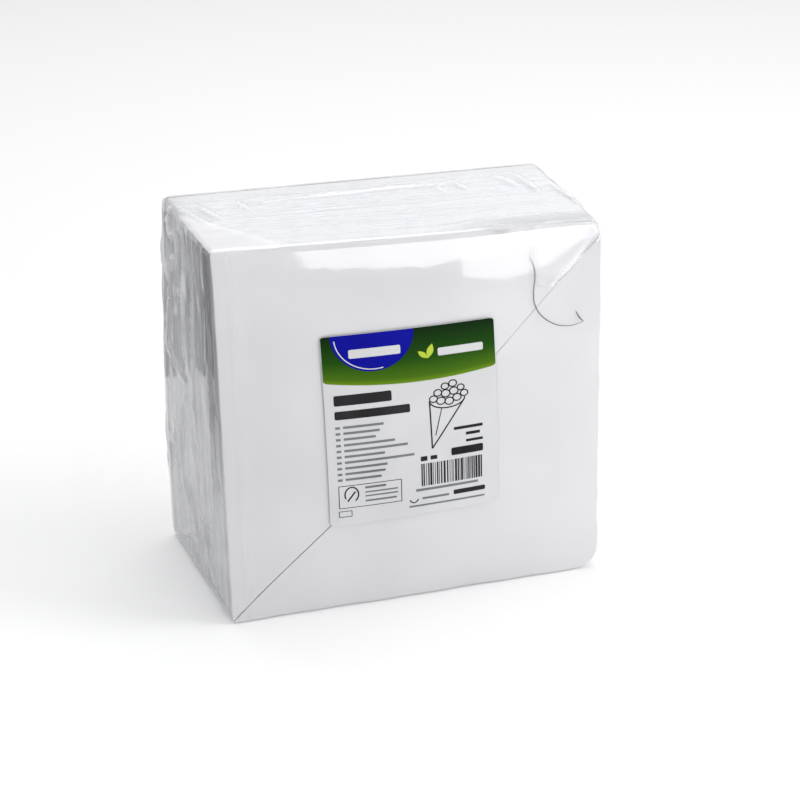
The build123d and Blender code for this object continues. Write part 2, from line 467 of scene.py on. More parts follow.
def flat_sheet(name, corners, radii):
    """A fine grid cut to a rounded triangle, in the plane of the pack's front."""
    size = 2 * half_width + 10 * mm
    deselect()
    bpy.ops.mesh.primitive_grid_add(
        x_subdivisions=sheet_cells, y_subdivisions=sheet_cells, size=size,
        location=(0, 0, block_height / 2), rotation=(math.pi / 2, 0, 0))
    sheet = named(name)
    bpy.ops.object.transform_apply(location=True, rotation=True, scale=True)
    outline = ring(corners, radii, 0)
    middle = np.mean(outline, axis=0)
    bpy.ops.object.mode_set(mode="EDIT")
    for i in range(len(outline)):
        here, after = outline[i], outline[(i + 1) % len(outline)]
        run = after - here
        length = np.linalg.norm(run)
        if length < 1e-6:
            continue
        normal = np.array((run[1], -run[0])) / length
        if normal @ (middle - here) > 0:
            normal = -normal
        bpy.ops.mesh.select_all(action="SELECT")
        bpy.ops.mesh.bisect(
            plane_co=(here[0], 0, here[1]), plane_no=(normal[0], 0, normal[1]), clear_outer=True)
    bpy.ops.object.mode_set(mode="OBJECT")
    return sheet


def outer_cone(name, upper, front):
    corners, radii = triangle(upper)
    sheet = flat_sheet(name, corners, radii)
    points = read_points(sheet)
    mouth = points[:, 2] - (block_height - film_gap) if upper else film_gap - points[:, 2]
    wave = np.sin(points[:, 0] / (17 * mm)) * np.sin(points[:, 0] / (7.3 * mm) + 1)
    lift = np.clip(0.5 * mm * wave * np.exp(mouth / (6 * mm)), -most_lift, most_lift)
    lap_edge = points[:, 0] + half_width if upper else half_width - points[:, 0]
    lap = ply / (1 + np.exp((lap_edge - lap_width) / lap_softness))
    side = -1 if front else 1
    points[:, 1] = side * (half_depth - film_gap + lift + lap)
    write_points(sheet, to_pack(points))
    solid = sheet.modifiers.new("ply", "SOLIDIFY")
    solid.thickness = 3 * ply
    solid.offset = 0
    bpy.ops.object.modifier_apply(modifier=solid.name)
    smooth(sheet)
    return sheet


for side, front in (("front", True), ("back", False)):
    for name, upper in (("upper", True), ("lower", False)):
        cone = outer_cone(f"{side}_{name}_sheet", upper, front)
        finish_piece(cone, "cone_paper", paper_face, f"{side}_{name}_cone")

# %% [markdown]
# ## Film material
# Shrink film is clear: it shows only where it mirrors a lamp, the floor or the room, and
# by a faint milky haze. So it is a see-through shader, mixed with white by its haze and
# by a painted highlight, and then with a mirror by how slanting the view is. A glass
# shader would bend what lies behind and hide the print, which so thin a film doesn't do.
# Only the outer side mirrors: seen from inside, the Fresnel node would turn the film into
# a full mirror. The film's mesh carries two values: a painted highlight that makes the
# film whiter, and a painted shade that lets less light through.

# %% Film material
film_index = 1.55
painted_sheen_share = 0.8
painted_shade_share = 0.45


def make_film(name, haze, small_bump, crinkle_size, tint=(0.985, 0.988, 0.992)):
    material, nodes, links, shader = new_material(name)
    nodes.remove(shader)
    mirror = nodes.new("ShaderNodeBsdfGlossy")
    mirror.inputs["Roughness"].default_value = 0.07
    slant = nodes.new("ShaderNodeFresnel")
    slant.inputs["IOR"].default_value = film_index
    place = nodes.new("ShaderNodeTexCoord")
    noise = nodes.new("ShaderNodeTexNoise")
    noise.inputs["Scale"].default_value = crinkle_size
    noise.inputs["Detail"].default_value = 3
    links.new(place.outputs["Object"], noise.inputs["Vector"])
    add_bump(nodes, links, noise.outputs["Fac"], small_bump, 0.6 * mm, mirror, slant)

    clear = nodes.new("ShaderNodeBsdfTransparent")
    # A painted shade from the mesh lets less light through the film
    painted_shade_tint = tuple(painted_shade_share * c for c in tint)
    through = add_ramp(nodes, links, read_attribute(nodes, "painted_film_shade"), (0.0, tint), (1.0, painted_shade_tint))
    links.new(through, clear.inputs["Color"])
    haze_and_sheen = nodes.new("ShaderNodeBsdfDiffuse")
    haze_and_sheen.inputs["Color"].default_value = (0.9, 0.9, 0.92, 1)
    # A painted highlight from the mesh makes the film whiter
    painted_sheen = read_attribute(nodes, "painted_sheen")
    whiteness = add_math(nodes, links, "MULTIPLY_ADD", painted_sheen, painted_sheen_share, haze)
    whiteness.node.use_clamp = True
    body = add_mix(nodes, links, whiteness, clear.outputs["BSDF"], haze_and_sheen.outputs["BSDF"])

    side = nodes.new("ShaderNodeNewGeometry")
    outer = add_math(nodes, links, "SUBTRACT", 1.0, side.outputs["Backfacing"])
    strength = add_math(nodes, links, "MULTIPLY", slant.outputs["Fac"], outer)
    whole = add_mix(nodes, links, strength, body, mirror.outputs["BSDF"])
    links.new(whole, nodes["Material Output"].inputs["Surface"])
    return material


film_clear = make_film("film_clear", 0.10, 0.25, 60)
film_folded = make_film("film_folded", 0.16, 0.3, 120)
# The front creases let much less light through: a painted shade that shows as a dark line
film_crease_painted_dark = make_film("film_crease_painted_dark", 0.0, 0.1, 120, (0.42, 0.42, 0.45))

# %% [markdown]
# ## The film
# The film starts as a cube, cut into a fine grid, because a crinkle needs points to bend
# at. Its points are rounded at the corners and rims, take the pack's form, and are then
# moved out along their normals by the folds: broad ones listed where the film has them,
# and a crumple that is strong on the narrow sides and weak on the front. A cloth
# simulation would crumple as well, but not with the folds in their real places.

# %% Film block
rim_radius = 2.6 * mm
film_corner = {(-1, -1): 3.0 * mm, (1, -1): 13 * mm, (1, 1): 6 * mm, (-1, 1): 3.0 * mm}
cuts = 10
edge_gather = 0.35


def rounded_block(cube):
    """Takes points on a cube of half size 1 to the rounded plain block."""
    near = (1 - edge_gather) * cube + edge_gather * np.sin(cube * math.pi / 2)
    size = np.array((half_width, half_depth, block_height / 2))
    points = near * size
    square = np.maximum(np.abs(near[:, 0]), np.abs(near[:, 2]))
    side = np.clip(rim_radius - (1 - square) * half_width, 0, rim_radius)
    deep = np.clip(rim_radius - (half_depth - np.abs(points[:, 1])), 0, rim_radius)
    long = np.hypot(side, deep)
    keep = np.where(long > 0, np.maximum(side, deep) / np.maximum(long, 1e-12), 1)
    points[:, 1] -= np.sign(points[:, 1]) * deep * (1 - keep)
    points[:, (0, 2)] *= (1 - side * (1 - keep) / half_width)[:, None]
    for (across, up), radius in film_corner.items():
        inside = np.array((half_width - radius, block_height / 2 - radius))
        out = points[:, (0, 2)] * (across, up) - inside
        here = (out > 0).all(axis=1)
        out = out[here]
        disc = out * (out.max(axis=1) / np.linalg.norm(out, axis=1))[:, None]
        points[np.ix_(here, (0, 2))] = (inside + disc) * (across, up)
    points[:, 2] += block_height / 2
    return points


# %% Folds and crumple
def fold_height(a, b, line, width, height):
    """A fold along a line of points on a wall: how far out each point (a, b) goes."""
    line = np.array(line) * mm
    best = np.full(len(a), 1e9)
    along = np.zeros(len(a))
    lengths = np.linalg.norm(np.diff(line, axis=0), axis=1)
    total, run = lengths.sum(), 0
    for start, end, length in zip(line[:-1], line[1:], lengths):
        way = (end - start) / length
        share = np.clip((a - start[0]) * way[0] + (b - start[1]) * way[1], 0, length)
        gap = np.hypot(a - start[0] - share * way[0], b - start[1] - share * way[1])
        closer = gap < best
        best = np.where(closer, gap, best)
        along = np.where(closer, (run + share) / total, along)
        run += length
    taper = np.clip(np.sin(np.pi * np.clip(along, 0.02, 0.98)), 0, 1) ** 0.6
    return height * mm * taper * np.clip(1 - best / (width * mm), 0, 1) ** 1.5


def crumple(a, b, size, seed):
    """Sharp-creased unevenness from -1 to 1: crossing V-shaped waves on bent lines."""
    random = np.random.default_rng(seed)
    total = np.zeros(len(a))
    bend = 0.35 * size * (np.sin(a / size * 1.7 + seed) + np.sin(b / size * 1.3 + 2 * seed))
    for i in range(7):
        angle = random.random() * math.pi
        wave = (math.cos(angle) * (a + bend) + math.sin(angle) * (b + bend)) / size
        total += np.abs(np.sin(wave * (1 + 0.6 * random.random()) + random.random() * 6)) - 0.64
    return total / 3.2


# %% Folds of each wall
# Each fold is a line of points in mm, a width and a height. Left wall: (depth y, up z)
left_folds = (
    (((34, 186), (26, 176), (17, 181)), 5, 2.6),
    (((44, 172), (36, 158), (30, 149)), 5, 2.8),
    (((20, 190), (14, 172), (22, 150)), 4, 2.0),
    (((6, 188), (0, 168), (8, 140), (4, 118)), 4, 2.2),
    (((-8, 190), (-12, 160), (-7, 120), (-10, 70)), 3, 1.8),
    (((-38, 188), (-40, 130), (-34, 60), (-36, 10)), 3.5, 1.6),
    (((39, 115), (5, 105)), 4, 2.0),
    (((5, 105), (18, 80), (22, 52)), 4, 2.0),
    (((22, 50), (8, 38), (-1, 28)), 4, 2.4),
    (((27, 13), (10, 20), (-1, 28)), 4, 2.2),
    (((-9, 40), (-20, 22), (-39, 4)), 4, 2.2),
    (((-28, 52), (-30, 30), (-34, 8)), 3, 1.8),
    (((46, 70), (40, 56), (44, 40)), 5, 2.2),
)
# Top wall: (across x, depth y)
top_folds = (
    (((-58, 22), (-45, 24), (-9, 25), (17, 28), (48, 26)), 2.4, 1.2),
    (((-46, 2), (-25, 4), (-5, 4)), 2.0, 0.8),
    (((-85, 30), (-82, 14), (-78, 0)), 3.2, 2.0),
    (((-93, 27), (-90, 8), (-85, -11)), 3.2, 2.0),
    (((-66, 30), (-64, 20), (-61, 8)), 3.0, 1.6),
    (((43, 33), (48, 11)), 3.0, 1.7),
    (((67, 35), (70, 24), (74, 10)), 3.2, 1.8),
    (((76, 38), (79, 16), (81, -4)), 3.2, 1.9),
    (((33, 27), (37, 9)), 2.8, 1.3),
    (((88, 20), (93, -10), (95, -30)), 4.0, 1.8),
    (((10, -41), (38, -36), (73, -35), (92, -46)), 3.0, 0.9),
)
# Right wall: (depth y, up z)
right_folds = (
    (((30, 180), (24, 160), (28, 140)), 4, 2.2),
    (((10, 178), (12, 150), (4, 120)), 4, 2.2),
    (((-20, 176), (-16, 150), (-24, 110)), 3.5, 1.8),
    (((34, 14), (20, 30), (26, 60)), 4, 2.2),
    (((0, 12), (-6, 34), (2, 64)), 4, 2.0),
)
# Back: (across x, up z)
back_folds = (
    (((-80, 20), (-30, 60), (30, 120), (85, 170)), 3, 0.8),
    (((-70, 182), (-64, 150), (-72, 120)), 4, 1.0),
    (((70, 20), (62, 48), (74, 80)), 4, 1.0),
)

print(len(left_folds) + len(top_folds) + len(right_folds) + len(back_folds), "folds are placed")

# %% Spots on the left wall
# Where the film stands off in a small bulge, as (depth y, up z), half sizes and lean
left_spots = (
    (25, 162, 5.5, 6.0, -0.5), (31, 184, 3.0, 3.5, 0.2), (20, 177, 3.5, 2.5, 0.3), (9, 183, 4.0, 2.5, -0.4),
    (34, 146, 3.0, 4.0, 0.3), (14, 150, 2.5, 5.0, -0.3), (37, 62, 4.5, 3.5, 0.4), (32, 70, 2.5, 4.0, -0.3),
    (30, 52, 3.0, 2.0, 0.2), (-6, 96, 1.6, 9.0, -0.1), (3, 20, 2.2, 5.0, 0.3), (-12, 30, 1.6, 8.0, 0.2),
)


def spots(a, b, shapes):
    """Ragged, sharp-edged patches on a wall, 1 inside and 0 outside."""
    total = np.zeros(len(a))
    a = a + 3.0 * crumple(a * 1.3, b, 3.1, 41)
    b = b + 4.5 * crumple(b * 1.2, a, 3.7, 43)
    for middle_a, middle_b, half_a, half_b, lean in shapes:
        off_a = (a - middle_a) - lean * (b - middle_b)
        off_b = b - middle_b
        inside = smooth_step(-np.hypot(off_a / half_a, off_b / half_b), -1.1, -0.7)
        total = np.maximum(total, inside)
    return total


# %% How far the film stands out
spot_rise = 0.7 * mm


def walls(cube):
    """Which points of the cube lie on the left, right, top and bottom wall."""
    return cube[:, 0] < -0.999, cube[:, 0] > 0.999, cube[:, 2] > 0.999, cube[:, 2] < -0.999


def film_rise(points, cube):
    """How far the film stands out from its plain form at each point."""
    x, y, z = points.T
    on_left, on_right, on_top, on_bottom = walls(cube)
    rise = np.zeros(len(points))
    rise[on_left] = 0.55 * mm * (1 + crumple(y[on_left], z[on_left] * 0.45, 6 * mm, 3))
    rise[on_right] = 0.5 * mm * (1 + crumple(y[on_right], z[on_right] * 0.5, 7 * mm, 5))
    rise[on_top] = 0.22 * mm * (1 + crumple(x[on_top] * 0.6, y[on_top], 7 * mm, 8))
    rise[on_bottom] = 0.1 * mm
    front_back = ~(on_left | on_right | on_top | on_bottom)
    near_side = np.clip((np.abs(cube[:, 0]) - 0.86) / 0.14, 0, 1)
    rim = 1 + crumple(x[front_back] * 0.8, z[front_back] * 0.25, 5 * mm, 11)
    rise[front_back] += 0.25 * mm * near_side[front_back] * rim
    for wall, a, b, folds in (
            (on_left, y, z, left_folds), (on_top, x, y, top_folds),
            (on_right, y, z, right_folds), (front_back & (y > 0), x, z, back_folds)):
        for line, width, height in folds:
            rise[wall] += fold_height(a[wall], b[wall], line, width, height)
    rise[on_left] += spot_rise * spots(y[on_left] / mm, z[on_left] / mm, left_spots)
    return rise * np.clip(z / (6 * mm), 0, 1)


# %% [markdown]
# ## Painted highlights and shade on the film
# The film is painted whiter as a painted highlight on its folds, streaks and bulges, on the
# side walls towards the back and where it is doubled at the top left, and at the top right
# as a painted reflection of the room. It is painted greyer as a painted shade in hollows,
# in a band up the left wall and in strips on the top and the front. More lamps would give
# the white parts, but they would wash out the front too. So two values are kept on the
# mesh for the film's material to read.

# %% Where the film is painted whiter
def film_painted_sheen(points, cube, rise):
    """Painted highlight and painted reflection on the film at each point, from 0 to 1. Its places are in mm.
    """
    x, y, z = (points / mm).T
    height = rise / mm
    from_left = x + half_width / mm
    on_left, on_right, on_top = walls(cube)[:3]
    side = on_left | on_right
    painted_sheen = np.zeros(len(points))

    crinkled = 0.4 + 0.8 * smooth_step(z, 120, 165) * smooth_step(y, -25, 0)
    folds = 0.8 * smooth_step(height, 1.2, 3.2) * crinkled
    streaks = 0.45 * smooth_step(crumple(y, z * 0.16, 2.3, 21), 0.12, 0.5) * crinkled
    inner = 0.14 + 0.32 * smooth_step(y, -18, 6)
    painted_sheen[side] = (inner + folds + streaks)[side]
    painted_sheen[on_left] = np.maximum(painted_sheen, 0.9 * spots(y, z, left_spots))[on_left]

    crumpled = crumple(x * 0.45 + y * 0.5, y * 0.7 - x * 0.1, 3.4, 33)
    wrinkles = 0.22 * smooth_step(crumpled, 0.1, 0.5)
    painted_sheen[on_top] = (0.8 * smooth_step(height, 0.5, 1.8) + wrinkles)[on_top]
    # A painted highlight where the film is doubled at the top left
    triangle_edge = 34 * np.clip((18 - y) / 62, 0, 1)
    triangle = 0.95 * smooth_step(triangle_edge - from_left, -2, 3)
    painted_sheen[on_top] = np.maximum(painted_sheen, triangle)[on_top]

    # A painted reflection of the room at the top right of the front, and a painted highlight on a fold near
    # its left edge
    front = ~(side | on_top) & (y < 0)
    over_gap = smooth_step(z - gap_rise * from_left, 0, 1.5)
    corner = 0.75 * over_gap * smooth_step(x, 57, 64) * smooth_step(z, 156, 168)
    upright_line = 0.16 * np.exp(-((x + 87) / 1.6) ** 2)
    painted_sheen[front] = (upright_line + corner)[front]
    return np.clip(painted_sheen, 0, 1)


# %% Where the film carries painted shade
def film_painted_shade(points, cube):
    """Painted shade on the film at each point, from 0 to 1. Its places are in mm."""
    x, y, z = (points / mm).T
    on_left, on_right, on_top = walls(cube)[:3]
    painted_film_shade = np.zeros(len(points))

    # Painted shade in the crumple's hollows, and in a band up the left wall near its front
    painted_shade_patches = smooth_step(-crumple(y, z * 0.4, 5.5, 17), 0.0, 0.4)
    depth = 0.22 + 0.4 * smooth_step(z, 110, 175) * smooth_step(y, -20, 5)
    band = 1.2 * np.exp(-((y + 36) / 9) ** 2) * smooth_step(z, 45, 135)
    painted_film_shade[on_left] = (depth * painted_shade_patches + band)[on_left]
    painted_film_shade[on_right] = 0.2 * painted_shade_patches[on_right]

    # Painted shade strips along the front and the back of the top
    front_strip = 0.24 * smooth_step(y, -34, -38) * smooth_step(x, 5, 60)
    back_strip = 0.04 * smooth_step(y, 34, 40)
    painted_film_shade[on_top] = (front_strip + back_strip)[on_top]

    # A painted shade patch on the front just under its top edge
    below_top = block_height / mm - z
    notch = 0.22 * smooth_step(6 - np.abs(x - 45) - 0.8 * below_top, -0.5, 2)
    front = ~(on_left | on_right | on_top) & (y < 0)
    painted_film_shade[front] = notch[front]
    return np.clip(painted_film_shade, 0, 1)


# %% Film mesh
deselect()
bpy.ops.mesh.primitive_cube_add(size=2, location=(0, 0, 0))
film = named("shrink_film")
bpy.ops.object.mode_set(mode="EDIT")
bpy.ops.mesh.subdivide(number_cuts=cuts)
bpy.ops.mesh.subdivide(number_cuts=cuts)
bpy.ops.object.mode_set(mode="OBJECT")
cube = read_points(film)
plain = rounded_block(cube)
write_points(film, to_pack(plain))
rise = film_rise(plain, cube)
shape = read_points(film) + read_points(film, "normal") * rise[:, None]
shape[:, 2] = np.maximum(shape[:, 2], 0)
write_points(film, shape)
write_attribute(film, "painted_sheen", film_painted_sheen(plain, cube, rise))
write_attribute(film, "painted_film_shade", film_painted_shade(plain, cube))
smooth(film, 60)
finish_piece(film, "film", film_clear, "film_wrap")
print("its folds stand up to", round(rise.max() / mm, 1), "mm out")

# %% [markdown]
# ## Creases and laps of the film
# Where the film is doubled it shows as a thin line, dark on the front from a painted shade, and light on
# top.
# The grid of the shell is too coarse for such a lip, so each one is a narrow ribbon of
# film with a rounded back, laid along a smooth line on the shell.

# %% Crease ribbons
# Across a ribbon: shares of its width and of its height
crease_profile = ((-1.0, 0.0), (-0.5, 0.75), (0.1, 1.0), (0.45, 0.55), (0.6, 0.05))
crease_lift = 0.06 * mm


def smooth_line(points, steps):
    """A smooth line through points, as many samples as asked."""
    points = np.array(points, float)
    ends = np.vstack((2 * points[0] - points[1], points, 2 * points[-1] - points[-2]))
    samples = []
    for share in np.linspace(0, len(points) - 1 - 1e-9, steps):
        i, t = int(share), share % 1
        a, b, c, d = ends[i], ends[i + 1], ends[i + 2], ends[i + 3]
        samples.append(0.5 * (2 * b + (c - a) * t + (2 * a - 5 * b + 4 * c - d) * t**2
                              + (3 * b - a - 3 * c + d) * t**3))
    return np.array(samples)


def ribbon(place, line, width, height, steps=48):
    """Points and faces of one crease. place(a, b, out) gives a point on a wall."""
    centre = smooth_line(line, steps) * mm
    way = np.gradient(centre, axis=0)
    way /= np.linalg.norm(way, axis=1)[:, None]
    across = np.column_stack((-way[:, 1], way[:, 0]))
    taper = np.sin(np.linspace(0.06, math.pi - 0.06, steps)) ** 0.5
    points = []
    for side, rise in crease_profile:
        spot = centre + across * (side * width * mm * taper)[:, None]
        points.append(place(spot[:, 0], spot[:, 1], crease_lift + rise * height * mm * taper))
    return np.concatenate(points), grid_faces(len(crease_profile), steps)


# %% Places on the front and on the top
def on_front(a, b, out):
    points = to_pack(np.column_stack((a, np.full(len(a), -half_depth), b)))
    points[:, 1] -= out
    return points


def on_top(a, b, out):
    points = to_pack(np.column_stack((a, b, np.full(len(a), block_height))))
    points[:, 2] += out
    return points


# %% Creases
# Each crease is a line of points in mm on the plain block, a width and a height. On the
# front, points are (across x, up z), and on the top (across x, depth y).
front_creases = (
    (((58.0, 175), (60.0, 171.5), (60.8, 166), (59.7, 158), (59.9, 152), (62.8, 146.2),
      (67.6, 141.9), (72.6, 139.3), (79.4, 138.2), (86, 139.2)), 0.42, 0.4),
    (((81.6, 145.4), (83.4, 142.2), (85.9, 139.2)), 0.48, 0.5),
)
top_creases = (
    (((-58, 22), (-45, 24), (-9, 25), (17, 28), (48, 26)), 0.7, 0.5),
    (((-46, 2), (-25, 4), (-5, 4)), 0.6, 0.3),
    (((10, -41), (38, -35), (60, -32), (80, -33)), 0.8, 0.4),
)


def crease_piece(name, place, creases):
    ribbons = [ribbon(place, line, width, height) for line, width, height in creases]
    piece = new_mesh(name, *join_patches(ribbons))
    smooth(piece, 60)
    return piece


finish_piece(crease_piece("front_creases", on_front, front_creases), "film", film_crease_painted_dark)
finish_piece(crease_piece("top_creases", on_top, top_creases), "film", film_folded)

# %% [markdown]
# ## The label
# The label is a smooth paper sticker on the film. Its print is left generic: fields of
# colour, plain bars where lines of text stand, a bar pattern and a small cone. Each
# printed shape is a thin patch that lies on the label and follows its curve, so its
# edges stay crisp from any distance, which a painted pattern of this size would not.
# Places on the label are in mm from the lower left corner of the solid's sheet. The real
# label is a little wider and less high than that sheet, and sits lower and further right,
# so each place is stretched about the label's middle and moved with it.

# %% Label surface
label_width, label_height = 82.5, 101.0
label_middle = (-3.7, 98.3)
label_stretch = (1.04, 0.975)
label_turn = math.radians(1.0)
label_rise = 0.35 * mm
patch_cell = 2.5
field_rise, print_rise, white_rise = 0.08, 0.06, 0.11


def on_label(u, v, out):
    """Places points of the label on the pack's front."""
    x = label_stretch[0] * (u - label_width / 2)
    z = label_stretch[1] * (v - label_height / 2)
    across = label_middle[0] + x * math.cos(label_turn) - z * math.sin(label_turn)
    up = label_middle[1] + x * math.sin(label_turn) + z * math.cos(label_turn)
    return on_front(across * mm, up * mm, label_rise + out)


def printed(name, patches, rise, material):
    """One piece of print from patches that lie a rise in mm above the sheet."""
    grid, faces = join_patches(patches)
    finish_piece(new_mesh(name, on_label(*grid.T, rise * mm), faces), "label", material)


# %% Print colours
def label_material(name, *stops, blended=False):
    """Print: a slightly uneven colour, or a blend that follows the mesh's own value."""
    material, nodes, links, shader = new_material(name)
    uneven = add_unevenness(nodes, 40, 1500)
    value = read_attribute(nodes, "blend") if blended else uneven.outputs["Cloud"]
    links.new(add_ramp(nodes, links, value, *stops), shader.inputs["Base Color"])
    shader.inputs["Roughness"].default_value = 0.4
    shader.inputs["Specular IOR Level"].default_value = 0.05
    add_bump(nodes, links, uneven.outputs["Grain"], 0.08, 0.05 * mm, shader)
    return material


label_white = label_material("label_white", (0.3, (0.63, 0.63, 0.64)), (0.7, (0.67, 0.67, 0.68)))
label_green = label_material(
    "label_green", (0.0, (0.14, 0.26, 0.01)), (0.1, (0.06, 0.15, 0.006)),
    (0.45, (0.012, 0.065, 0.003)), (1.0, (0.002, 0.016, 0.002)), blended=True)
label_leaf = label_material("label_leaf", (0.3, (0.42, 0.55, 0.04)), (0.7, (0.55, 0.66, 0.08)))
label_navy = label_material("label_navy", (0.3, (0.002, 0.003, 0.26)), (0.7, (0.003, 0.005, 0.31)))
label_black = label_material("label_black", (0.3, (0.015, 0.015, 0.016)), (0.7, (0.03, 0.03, 0.032)))
label_grey = label_material("label_grey", (0.3, (0.16, 0.165, 0.17)), (0.7, (0.22, 0.225, 0.23)))

print("the label has", len([m for m in bpy.data.materials if m.name.startswith("label")]), "colours")


# %% Flat shapes
def rounded_patch(low, high, radius, steps=6):
    """A rectangle with round corners, as rows of points from its foot to its head."""
    bend = radius * (1 - np.cos(np.linspace(0, math.pi / 2, steps)))
    sides = np.arange(low[1] + radius, high[1] - radius, patch_cell)
    vs = np.unique(np.concatenate((low[1] + bend, sides, high[1] - bend)))
    near = np.clip(radius - np.minimum(vs - low[1], high[1] - vs), 0, radius)
    inset = radius - np.sqrt(np.clip(radius**2 - near**2, 0, None))
    across = max(2, math.ceil((high[0] - low[0]) / patch_cell))
    grid = np.array([(low[0] + d + (high[0] - low[0] - 2 * d) * i / across, v)
                     for v, d in zip(vs, inset) for i in range(across + 1)])
    return grid, grid_faces(len(vs), across + 1)


def patch(low, high):
    """A rectangle, fine enough to follow the label's curve."""
    across, up = (max(1, math.ceil((h - l) / patch_cell)) for l, h in zip(low, high))
    us = np.linspace(low[0], high[0], across + 1)
    vs = np.linspace(low[1], high[1], up + 1)
    return np.array([(u, v) for v in vs for u in us]), grid_faces(up + 1, across + 1)


def stroke(line, width):
    """A drawn line of one width through the given points."""
    line = np.array(line, float)
    way = np.gradient(line, axis=0)
    way /= np.linalg.norm(way, axis=1)[:, None]
    side = np.column_stack((-way[:, 1], way[:, 0])) * width / 2
    return np.concatenate((line - side, line + side)), grid_faces(2, len(line))


def arc(middle, across, up, start=0.0, end=360.0, steps=24):
    """Points on an ellipse between two angles in degrees."""
    turn = np.radians(np.linspace(start, end, steps))
    return np.column_stack((middle[0] + across * np.cos(turn), middle[1] + up * np.sin(turn)))


def straight(start, end, steps=8):
    return np.linspace(start, end, steps)


def fan(outline, rings=4):
    """A filled shape: rings of points drawn in towards its middle."""
    middle = outline.mean(axis=0)
    count = len(outline)
    shrunk = [middle + (outline - middle) * (1 - i / rings) for i in range(rings)]
    last = (rings - 1) * count
    heart = [(last + i, last + i + 1, rings * count) for i in range(count - 1)]
    return np.concatenate(shrunk + [[middle]]), grid_faces(rings, count) + heart


def leaf(start, end, fat):
    """A leaf between two points, pointed at both ends."""
    start, end = np.array(start, float), np.array(end, float)
    run = end - start
    side = np.array((-run[1], run[0])) / np.linalg.norm(run)
    share = np.linspace(0, 1, 10)
    belly = np.sin(math.pi * share)[:, None] * fat * side
    centre = start + share[:, None] * run
    return fan(np.concatenate((centre + belly, (centre - belly)[::-1])))


# %% Sheet
sheet_grid, sheet_faces = rounded_patch((0, 0), (label_width, label_height), 2.5)
sheet = new_mesh("label_sheet", on_label(*sheet_grid.T, 0), sheet_faces)
finish_piece(sheet, "label", label_white, "label")

# %% Green band with a curved lower edge
# It follows the label's own outline at the sides and at the top, a little inside it. It
# is a rounded patch whose rows are then moved up to the curve of its foot, and whose
# lowest rows are drawn out again to the full width, because only its head is rounded.
band_inset, band_foot, band_corner = 0.2, 50, 2.4
band_left, band_right = band_inset, label_width - band_inset
band_head = label_height - band_inset
band_grid, band_faces = rounded_patch((band_left, band_foot), (band_right, band_head), band_corner)
band_u, row_v = band_grid.T
low_edge = 73.5 + 3.2 * ((band_u - 45) / 40) ** 2
blend = (row_v - band_foot) / (band_head - band_foot)
band_v = low_edge + blend * (band_head - low_edge)
at_foot = row_v < 53
foot_share = (band_u - band_u[at_foot].min()) / np.ptp(band_u[at_foot])
band_u = np.where(at_foot, band_left + foot_share * (band_right - band_left), band_u)
band = new_mesh("label_band", on_label(band_u, band_v, 0.03 * mm), band_faces)
write_attribute(band, "blend", blend)
finish_piece(band, "label", label_green)

# %% Navy field, leaves and light bars on the band
navy_edge = arc((24, band_head), 19.6, 19.2, 180, 360, 28)
navy_field = fan(np.concatenate((navy_edge, straight(navy_edge[-1], navy_edge[0], 14)[1:])))
navy_line = stroke(arc((24.5, 99.5), 18.2, 16.8, 184, 282, 30), 0.5)
light_bars = [rounded_patch((12.6, 89), (36.8, 93.4), 0.8), rounded_patch((54.4, 85.4), (76.4, 89.4), 0.8)]
leaf_foot = (49.6, 84.9)
leaves = [leaf(leaf_foot, (44.9, 88.9), 1.3), leaf(leaf_foot, (51.9, 92.0), 1.6)]
printed("label_field", [navy_field], field_rise, label_navy)
printed("label_rim", [navy_line] + light_bars, white_rise, label_white)
printed("label_leaves", leaves, white_rise, label_leaf)

# %% Bars for lines of text
bold_lines = [rounded_patch(low, high, radius) for low, high, radius in (
    ((4.4, 65.4), (31.4, 70.8), 0.8), ((4.4, 58.2), (39.8, 62.6), 0.8),
    ((59, 31.2), (74.8, 35.4), 0.8), ((59.8, 8.8), (75.6, 11.4), 0.6))]
data_lines = [patch(low, high) for low, high in (
    ((60.6, 45), (74.8, 46.6)), ((66.4, 41.4), (73.4, 43)), ((66.4, 37.6), (74.8, 39)))]
printed("label_text", bold_lines + data_lines, print_rise, label_black)

list_lengths = (19, 17, 15, 24, 30, 19, 33, 20, 19, 17)
list_top, list_pitch = 53.9, 3.14
small_lines, small_marks = [], []
for i, length in enumerate(list_lengths):
    v = list_top - list_pitch * i
    small_lines.append(patch((8, v - 0.6), (8 + length, v + 0.7)))
    small_marks.append(stroke([(4.4, v), (6.6, v)], 1.3))
foot_and_box = [patch(low, high) for low, high in (
    ((38, 5), (75.4, 6)), ((41.4, 13.7), (72, 15.1)), ((44.4, 8.8), (57.6, 10)),
    ((17, 19.6), (27, 20.8)), ((17, 17.2), (32.6, 18)), ((17, 15), (32.6, 15.8)), ((17, 12.2), (32, 13.2)))]
printed("label_small_text", small_lines + small_marks + foot_and_box, print_rise, label_grey)

# %% Bar pattern
# Widths and gaps are drawn at random, so that the bars spell nothing.
bar_unit, bar_left, bar_right = 0.33, 43.8, 74.6
bar_widths = rng.integers(1, 4, 34) * bar_unit
bar_gaps = bar_unit * rng.integers(1, 3, 34)
bar_starts = bar_left + np.cumsum(bar_widths + bar_gaps) - bar_widths
bars = [patch((start, 16.4), (start + width, 29))
        for start, width in zip(bar_starts, bar_widths) if start + width < bar_right]
printed("label_bars", bars, print_rise, label_black)
print("the label has", len(bars), "bars")

